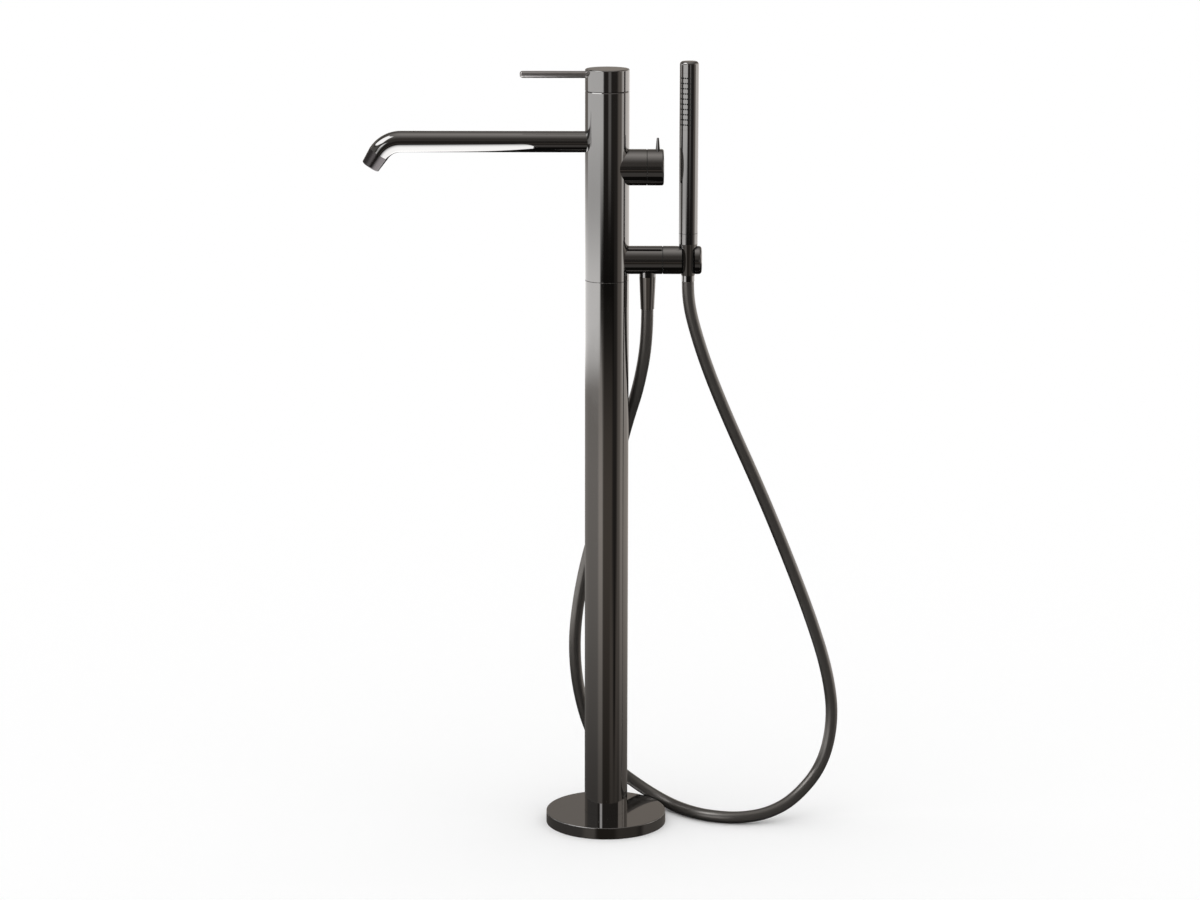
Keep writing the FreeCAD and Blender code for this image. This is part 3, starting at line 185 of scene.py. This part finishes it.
class Tree:
    """A node tree with short ways to add nodes and join them."""

    def __init__(self, owner):
        owner.use_nodes = True
        self.tree = owner.node_tree
        self.tree.nodes.clear()

    def add(self, kind, inputs=None, **settings):
        """A new node. An input that is a socket is linked, and any other is its value."""
        node = self.tree.nodes.new(kind)
        for name, value in settings.items():
            setattr(node, name, value)
        for name, value in (inputs or {}).items():
            if isinstance(value, bpy.types.NodeSocket):
                self.tree.links.new(value, node.inputs[name])
            else:
                node.inputs[name].default_value = value
        return node

    def math(self, operation, *values):
        return self.add("ShaderNodeMath", dict(enumerate(values)), operation=operation).outputs[0]

    def smooth_range(self, value, low, high, to_low=0.0, to_high=1.0):
        inputs = {"Value": value, "From Min": low, "From Max": high,
                  "To Min": to_low, "To Max": to_high}
        node = self.add("ShaderNodeMapRange", inputs, interpolation_type="SMOOTHSTEP")
        return node.outputs["Result"]

    def mix(self, factor, first, second):
        node = self.add("ShaderNodeMix", {"Factor": factor}, data_type="RGBA")
        for slot, value in ((6, first), (7, second)):
            if isinstance(value, bpy.types.NodeSocket):
                self.tree.links.new(value, node.inputs[slot])
            else:
                node.inputs[slot].default_value = (*value, 1.0)
        return node.outputs[2]

    def noise(self, where, scale, detail=3.0, roughness=0.5):
        inputs = {"Vector": where, "Scale": scale, "Detail": detail, "Roughness": roughness}
        return self.add("ShaderNodeTexNoise", inputs).outputs["Fac"]

    def bump(self, height, distance, over=None):
        """The normal of a bump, laid over another bump's normal if that is given."""
        inputs = {"Height": height, "Strength": 1.0, "Distance": distance}
        if over is not None:
            inputs["Normal"] = over
        return self.add("ShaderNodeBump", inputs).outputs[0]

    def finish(self, shader, kind="ShaderNodeOutputMaterial"):
        """The tree's output, which shows this shader."""
        self.add(kind, {"Surface": shader})


# ---- camera ------------------------------------------------------------------------------------


def make_camera():
    data = bpy.data.cameras.new("camera")
    data.sensor_width = CAMERA_SENSOR_MM
    data.lens = CAMERA_LENS_MM
    data.clip_end = CAMERA_REACH
    camera = bpy.data.objects.new("camera", data)
    pitch = Matrix.Rotation(math.radians(90 - CAMERA_PITCH), 4, "X")
    roll = Matrix.Rotation(math.radians(CAMERA_ROLL), 4, "Z")
    camera.matrix_world = Matrix.Translation(CAMERA_AT) @ pitch @ roll
    bpy.context.scene.collection.objects.link(camera)
    bpy.context.scene.camera = camera


# ---- hose --------------------------------------------------------------------------------------


def hose_line():
    """Points along the hose's smooth line, read from its spline."""
    curve = bpy.data.curves.new("hose_line", "CURVE")
    curve.dimensions = "3D"
    curve.resolution_u = HOSE_CURVE_STEPS
    spline = curve.splines.new("NURBS")
    spline.points.add(len(HOSE_POINTS_MM) - 1)
    for point, place in zip(spline.points, HOSE_POINTS_MM):
        point.co = (*(Vector(place) * MM), 1)
    spline.order_u = 3
    spline.use_endpoint_u = True
    line = bpy.data.objects.new("hose_line", curve)
    bpy.context.scene.collection.objects.link(line)
    mesh = bpy.data.meshes.new_from_object(line)
    points = [vertex.co.copy() for vertex in mesh.vertices]
    bpy.data.objects.remove(line)
    return points


def carried_frames(points):
    """(tangent, side) at each point, with the side carried along so that the tube doesn't twist."""
    frames = []
    side = Vector((0, 1, 0))
    for index, point in enumerate(points):
        before = points[max(index - 1, 0)]
        after = points[min(index + 1, len(points) - 1)]
        tangent = (after - before).normalized()
        side = (side - tangent * side.dot(tangent)).normalized()
        frames.append((tangent, side.copy()))
    return frames


def hose_tube(name, points, frames, start_length):
    """A smooth tube along the points, whose UV is the turn about its axis and the length along it."""
    vertices = []
    rows = []
    length = start_length
    for index, (point, (tangent, side)) in enumerate(zip(points, frames)):
        if index:
            length += (point - points[index - 1]).length
        rows.append(length)
        other = tangent.cross(side)
        for step in range(HOSE_SIDES):
            angle = 2 * math.pi * step / HOSE_SIDES
            vertices.append(point + (side * math.cos(angle) + other * math.sin(angle)) * HOSE_D / 2)
    faces = []
    corners = []
    for row in range(len(points) - 1):
        for step in range(HOSE_SIDES):
            after = (step + 1) % HOSE_SIDES
            faces.append([row * HOSE_SIDES + step, row * HOSE_SIDES + after,
                          (row + 1) * HOSE_SIDES + after, (row + 1) * HOSE_SIDES + step])
            for across, along in ((0, 0), (1, 0), (1, 1), (0, 1)):
                corners += [(step + across) / HOSE_SIDES, rows[row + along]]
    tube = add_mesh(name, vertices, faces)
    tube.data.uv_layers.new(name="UVMap").data.foreach_set("uv", corners)
    return tube, length


def make_hose(cover):
    """Three lengths of one hose: down and along the floor, the rise, and the end at the handset.

    The first stays with the stand.
    """
    points = hose_line()
    frames = carried_frames(points)
    furthest_right = max(range(len(points)), key=lambda index: points[index].x)
    rise = range(furthest_right, len(points))
    first_cut, second_cut, stretch = (min(rise, key=lambda index: abs(points[index].z - z))
                                      for z in (*HOSE_CUTS_Z, HOSE_STRETCH_Z))
    cuts = [0, first_cut, second_cut, len(points) - 1]
    names = ["hose_lower", "hose_rise", "hose_upper"]
    tubes = []
    length = 0.0
    for name, start, end in zip(names, cuts, cuts[1:]):
        part = slice(start, end + 1)
        tube, length = hose_tube(name, points[part], frames[part], length)
        tube.data.materials.append(cover)
        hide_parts("shower_hose")
        tubes.append(tube)
    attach(tubes[0], "stand")
    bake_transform(tubes[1])
    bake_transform(tubes[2])


# ---- finishes ----------------------------------------------------------------------------------


def finish_material(name):
    """An empty material, its tree and the object's own coordinates in metres."""
    material = bpy.data.materials.new(name)
    tree = Tree(material)
    where = tree.add("ShaderNodeTexCoord").outputs["Object"]
    return material, tree, where


def polished_metal(name, colour, rough=METAL_ROUGH):
    """Bright metal: a faint long ripple and a fine grain in the plating, and uneven gloss."""
    material, tree, where = finish_material(name)
    shade = [tone * METAL_SHADE for tone in colour]
    smears = tree.noise(where, METAL_SMEAR_SCALE, 5, 0.6)
    ripple = tree.bump(tree.noise(where, METAL_RIPPLE_SCALE, 1), METAL_RIPPLE)
    surface = tree.add("ShaderNodeBsdfPrincipled", {
        "Base Color": tree.mix(tree.noise(where, METAL_TINT_SCALE), colour, shade),
        "Metallic": 1.0,
        "Roughness": tree.smooth_range(smears, *METAL_SMEARS, *rough),
        "Normal": tree.bump(tree.noise(where, METAL_GRAIN_SCALE, 2), METAL_GRAIN, over=ripple),
    })
    tree.finish(surface.outputs[0])
    return material


def moulded(name, colour, roughness, grain=MOULDED_GRAIN):
    """Moulded plastic, rubber or ceramic: a fine even grain and slightly mottled colour."""
    material, tree, where = finish_material(name)
    shade = [tone * MOULDED_SHADE for tone in colour]
    rough = (roughness * (1 - MOULDED_GLOSS_SPREAD), roughness * (1 + MOULDED_GLOSS_SPREAD))
    mottle = tree.noise(where, MOULDED_GLOSS_SCALE)
    surface = tree.add("ShaderNodeBsdfPrincipled", {
        "Base Color": tree.mix(tree.noise(where, MOULDED_TINT_SCALE, 4), colour, shade),
        "Roughness": tree.smooth_range(mottle, *NOISE_MIDDLE, *rough),
        "Specular IOR Level": MOULDED_SPECULAR,
        "Normal": tree.bump(tree.noise(where, MOULDED_GRAIN_SCALE, 2), grain),
    })
    tree.finish(surface.outputs[0])
    return material


def hose_cover():
    """Smooth dark cover with the fine spiral of its winding just showing."""
    material, tree, where = finish_material("hose_cover")
    parts = tree.add("ShaderNodeSeparateXYZ", {0: tree.add("ShaderNodeUVMap").outputs[0]}).outputs
    turns = tree.math("ADD", tree.math("DIVIDE", parts["Y"], COVER_RIB_PITCH), parts["X"])
    rib = tree.bump(tree.math("SINE", tree.math("MULTIPLY", turns, 2 * math.pi)), COVER_RIB)
    wear = tree.noise(where, COVER_GLOSS_SCALE, 4)
    surface = tree.add("ShaderNodeBsdfPrincipled", {
        "Base Color": tree.mix(tree.noise(where, COVER_TINT_SCALE, 4), COVER_LIGHT, COVER_DARK),
        "Metallic": COVER_METALLIC,
        "Roughness": tree.smooth_range(wear, *NOISE_MIDDLE, *COVER_ROUGH),
        "Normal": tree.bump(tree.noise(where, COVER_GRAIN_SCALE, 2), COVER_GRAIN, over=rib),
    })
    tree.finish(surface.outputs[0])
    return material


def finishes():
    """The material of each of the record's slots, and of the nodes that differ from their slot."""
    return {
        "polished_gunmetal": polished_metal("polished_gunmetal", (0.317, 0.312, 0.308)),
        # painted shade: this colour is far darker than the aerator's real finish, standing in for the
        # dark reflections it shows
        "satin_gunmetal_painted_shade": polished_metal("satin_gunmetal_painted_shade", (0.085, 0.078, 0.080), rough=(0.18, 0.28)),
        "brushed_gunmetal": polished_metal("brushed_gunmetal", (0.42, 0.40, 0.395), rough=(0.34, 0.44)),
        "raw_brass": polished_metal("raw_brass", (0.72, 0.55, 0.28), rough=(0.22, 0.35)),
        "stainless": polished_metal("stainless", (0.60, 0.59, 0.58), rough=(0.18, 0.3)),
        "copper": polished_metal("copper", (0.78, 0.42, 0.28), rough=(0.2, 0.35)),
        "seal_rubber": moulded("seal_rubber", (0.03, 0.03, 0.03), 0.7),
        "white_plastic": moulded("white_plastic", (0.78, 0.78, 0.75), 0.4),
        "dark_plastic": moulded("dark_plastic", (0.045, 0.045, 0.045), 0.45),
        "ceramic": moulded("ceramic", (0.86, 0.85, 0.82), 0.15, grain=0.002 * MM),
        "hose_cover": hose_cover(),
    }


def dress_nodes(materials):
    """Every CAD node takes the finish that the record's slot names, or its own."""
    for part in frame["record"]["subparts"]:
        finish = OWN_FINISHES.get(part["node"], part["material_slot"])
        for slot in frame["nodes"][part["node"]].material_slots:
            slot.material = materials[finish]


# ---- fine pieces -------------------------------------------------------------------------------


def turned(name, profile, origin, axis):
    """A closed ring turned about an axis from (radius, place along the axis) corners."""
    to_axis = Vector((0, 0, 1)).rotation_difference(Vector(axis)).to_matrix()
    vertices = []
    faces = []
    count = len(profile)
    for side in range(RING_SIDES):
        angle = 2 * math.pi * side / RING_SIDES
        for radius, along in profile:
            place = Vector((radius * math.cos(angle), radius * math.sin(angle), along))
            vertices.append(Vector(origin) + to_axis @ place)
        after = (side + 1) % RING_SIDES
        for corner in range(count):
            other = (corner + 1) % count
            faces.append((side * count + corner, after * count + corner,
                          after * count + other, side * count + other))
    ring = add_mesh(name, vertices, faces)
    ring.data.set_sharp_from_angle(angle=math.radians(RING_SHARP_DEG))
    return ring


def slip_ring(name, before, behind, along, body, material):
    """A dark ring in the joint between two round pieces, a little below their surface."""
    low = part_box(before)[1][along] + RING_CLEAR
    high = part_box(behind)[0][along] - RING_CLEAR
    corner_low, corner_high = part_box(behind)
    centre = (corner_low + corner_high) / 2
    across = 1 if along != 1 else 0
    outer = (corner_high[across] - corner_low[across]) / 2 - RING_RECESS
    inner = outer - RING_DEPTH
    centre[along] = 0
    axis = [float(index == along) for index in range(3)]
    profile = [(inner, low), (outer, low), (outer, high), (inner, high)]
    ring = turned(name, profile, centre, axis)
    ring.data.materials.append(material)
    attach(ring, body)


def nozzle_tips(material):
    """A soft nozzle in each of the spray face's holes, with its jet's opening."""
    low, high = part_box("handset_body")
    centre = (low + high) / 2
    radius = (high.x - low.x) / 2
    first_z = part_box("spray_plate")[0].z + SPRAY_MARGIN
    tips = bpy.data.meshes.new("nozzle_tips")
    shape = bmesh.new()
    first_turn = -90 - SPRAY_TURN_DEG - (SPRAY_COLUMNS - 1) / 2 * SPRAY_COLUMN_DEG
    for row in range(SPRAY_ROWS):
        middle = Vector((centre.x, centre.y, first_z + row * SPRAY_ROW_PITCH))
        for column in range(SPRAY_COLUMNS):
            turn = math.radians(first_turn + column * SPRAY_COLUMN_DEG)
            outward = Vector((math.cos(turn), math.sin(turn), 0))
            add_nozzle(shape, middle + outward * radius, outward)
    shape.to_mesh(tips)
    shape.free()
    tips.shade_smooth()
    tips.set_sharp_from_angle(angle=math.radians(NOZZLE_SHARP_DEG))
    tips.materials.append(material)
    piece = bpy.data.objects.new("nozzle_tips", tips)
    bpy.context.scene.collection.objects.link(piece)
    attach(piece, "handset")


def add_nozzle(shape, place, outward):
    """Rings of one nozzle, from its root up over its rounded lip and down into its opening."""
    turn = Vector((0, 0, 1)).rotation_difference(outward).to_matrix()
    last = None
    for radius, rise in NOZZLE_RINGS_MM:
        ring = []
        for side in range(NOZZLE_SIDES):
            angle = 2 * math.pi * side / NOZZLE_SIDES
            local = Vector((radius * math.cos(angle), radius * math.sin(angle), rise)) * MM
            ring.append(shape.verts.new(place + turn @ local))
        if last:
            for side in range(NOZZLE_SIDES):
                after = (side + 1) % NOZZLE_SIDES
                shape.faces.new((last[side], last[after], ring[after], ring[side]))
        last = ring
    shape.faces.new(last)


def make_fine_pieces(materials):
    dark = materials["dark_plastic"]
    slip_ring("knob_slip_ring", "diverter_neck", "diverter_knob", 0, "stand", dark)
    slip_ring("holder_slip_ring", "outlet_arm", "holder_cradle", 0, "stand", dark)
    slip_ring("handset_seam_ring", "cone_nut", "handset_body", 2, "handset", dark)
    nozzle_tips(materials["seal_rubber"])


# ---- studio ------------------------------------------------------------------------------------

# The studio that polished metal reflects, as cards laid over a dark room, each over the ones
# before it: (azimuths, heights, brightness, softness of the edges, warmth of its light). Azimuth 0
# is towards the viewer and positive to the right, and heights are above the horizon.
ALL_ROUND = (-220, 220)
WARM_LIGHT = (1.10, 1.0, 0.91)
STUDIO_DARK = 0.04
STUDIO_CARDS = [
    (ALL_ROUND, (12, 140), 0.09, 20, 1.0),  # ceiling
    (ALL_ROUND, (65, 140), 0.64, 210, 0.5),  # and its brighter middle
    ((-220, -118), (-9, 32), 0.26, 10, 1.0),  # back wall, left
    ((118, 220), (-9, 32), 0.27, 10, 1.2),  # back wall, right
    ((-118, -46), (12, 32), 0.20, 6, 0.5),  # upper wall at the left
    ((70, 118), (12, 32), 0.70, 6, 1.0),  # upper wall at the right
    ((-220, -27), (-12.5, -8.2), 1.48, 9, 0.1),  # white wall at the left, lower half
    ((-120, -20), (-8.2, 12), 1.14, 9, 0.1),  # and its upper half
    ((-36, 38), (-11.2, -8.2), 0.012, 9, 1.0),  # black card in front of the viewer
    ((6, 20), (-7.7, 12), 0.26, 7, 0.4),  # gap between the viewer's two black cards
    ((58, 84), (-20, 12), 0.22, 16, 1.2),  # grey screen
    ((84, 160), (-12, 12), 1.15, 18, 0.5),  # white wall at the right
    ((160, 220), (-12, -3), 0.90, 16, 0.7),
    ((-220, -26), (-25, -10.95), 0.37, 3, 0.7),  # low wall at the left
    ((-44, -18), (-25, -11.5), 0.62, 14, 0.9),
    ((-18, 30), (-25, -11.5), 0.13, 12, 1.6),
    ((20, 64), (-25, -15.8), 0.30, 14, 1.3),
    ((38, 50), (-17.6, -12), 0.035, 8, 1.0),  # narrow black card
    ((76, 220), (-25, -11.2), 0.52, 12, 1.0),  # low wall at the right
    ((-33, -21), (14, 24), 1.9, 5, 0.0),  # lamp that the base plate mirrors
    ((-105, -42), (36, 66), 3.0, 8, 0.0),  # window high at the left
    ((-75, 75), (-54, -27), 0.5, 12, 0.8),  # pale strip of the floor
]
FLOOR_FADE_HEIGHTS = (-19.5, -12.5)  # the floor dims the reflection more and more between these
FLOOR_FADE = 0.22  # what is left of its light below them

# A slanting card under the spout that only reflections see, and only from above: it makes the
# spout's bright underside. Its corners in X and Y, its height at X = 0 and its rise along X.
UNDER_CARD_XY = [
    (-0.60, 0.46),
    (-0.60, -0.50),
    (-0.118, -0.50),
    (-0.085, -0.10),
    (-0.085, -0.04),
    (-0.385, 0.46),
]
UNDER_CARD_Z0 = 0.745
UNDER_CARD_SLOPE = 0.45
UNDER_CARD_FADE_Y = (-0.36, -0.06)  # dark before the first, and at its full light behind the second
UNDER_CARD_LIGHT = 3.0


def card_mask(tree, azimuth, height, card):
    """1 inside the card and 0 outside, with soft edges."""
    (left, right), (low, high), _, soft, _ = card
    half = soft / 2
    edges = [tree.smooth_range(height, low - half / 3, low + half / 3),
             tree.smooth_range(height, high + half / 3, high - half / 3)]
    if (left, right) != ALL_ROUND:
        edges += [tree.smooth_range(azimuth, left - half, left + half),
                  tree.smooth_range(azimuth, right + half, right - half)]
    mask = edges[0]
    for edge in edges[1:]:
        mask = tree.math("MULTIPLY", mask, edge)
    return mask


def warm_light(brightness, warmth):
    return [brightness * (1 + (tone - 1) * warmth) for tone in WARM_LIGHT]


def studio_reflection(tree):
    """The colour that polished metal sees in each direction, and how far the floor dims it."""
    direction = tree.add("ShaderNodeTexCoord").outputs["Generated"]
    parts = tree.add("ShaderNodeSeparateXYZ", {0: direction}).outputs
    turn = tree.math("ARCTAN2", parts["X"], tree.math("MULTIPLY", parts["Y"], -1.0))
    azimuth = tree.math("MULTIPLY", turn, 180 / math.pi)
    height = tree.math("MULTIPLY", tree.math("ARCSINE", parts["Z"]), 180 / math.pi)
    light = warm_light(STUDIO_DARK, 1.0)
    for card in STUDIO_CARDS:
        _, _, brightness, _, warmth = card
        mask = card_mask(tree, azimuth, height, card)
        light = tree.mix(mask, light, warm_light(brightness, warmth))
    return light, tree.smooth_range(height, *FLOOR_FADE_HEIGHTS, FLOOR_FADE, 1.0)


def make_world():
    """White all round for the eye and for matt surfaces. Metal sees the studio's walls and cards."""
    world = bpy.data.worlds.new("studio")
    bpy.context.scene.world = world
    tree = Tree(world)
    light, fade = studio_reflection(tree)
    white = tree.add("ShaderNodeBackground", {"Color": (1, 1, 1, 1), "Strength": 1.0})
    studio = tree.add("ShaderNodeBackground", {"Color": light, "Strength": fade})
    glossy = tree.add("ShaderNodeLightPath").outputs["Is Glossy Ray"]
    mixed = tree.add("ShaderNodeMixShader", {0: glossy, 1: white.outputs[0], 2: studio.outputs[0]})
    tree.finish(mixed.outputs[0], "ShaderNodeOutputWorld")


def make_under_card():
    corners = [(x, y, UNDER_CARD_Z0 + UNDER_CARD_SLOPE * x) for x, y in UNDER_CARD_XY]
    card = add_mesh("under_card", corners, [range(len(corners))], smooth=False)
    material = bpy.data.materials.new("under_card")
    tree = Tree(material)
    where = tree.add("ShaderNodeTexCoord").outputs["Object"]
    depth = tree.add("ShaderNodeSeparateXYZ", {0: where}).outputs["Y"]
    light = tree.smooth_range(depth, *UNDER_CARD_FADE_Y, 0.0, UNDER_CARD_LIGHT)
    glow = tree.add("ShaderNodeEmission", {"Color": (1, 1, 1, 1), "Strength": light}).outputs[0]
    clear = tree.add("ShaderNodeBsdfTransparent").outputs[0]
    behind = tree.add("ShaderNodeNewGeometry").outputs["Backfacing"]
    surface = tree.add("ShaderNodeMixShader", {0: behind, 1: glow, 2: clear})
    tree.finish(surface.outputs[0])
    card.data.materials.append(material)
    card.visible_camera = False
    card.visible_diffuse = False
    card.visible_shadow = False


def make_floor():
    half = FLOOR_SIZE / 2
    corners = [(-half, -half, 0), (half, -half, 0), (half, half, 0), (-half, half, 0)]
    floor = add_mesh("floor", corners, [(0, 1, 2, 3)])
    material = bpy.data.materials.new("floor")
    tree = Tree(material)
    surface = tree.add("ShaderNodeBsdfDiffuse", {"Color": (1, 1, 1, 1)})
    tree.finish(surface.outputs[0])
    floor.data.materials.append(material)
    floor.visible_glossy = False


# ---- scene -------------------------------------------------------------------------------------


def main():
    bpy.context.scene.view_settings.view_transform = "Standard"
    make_camera()
    materials = finishes()
    make_hose(materials["hose_cover"])
    dress_nodes(materials)
    make_fine_pieces(materials)
    make_world()
    make_floor()
    make_under_card()


main()
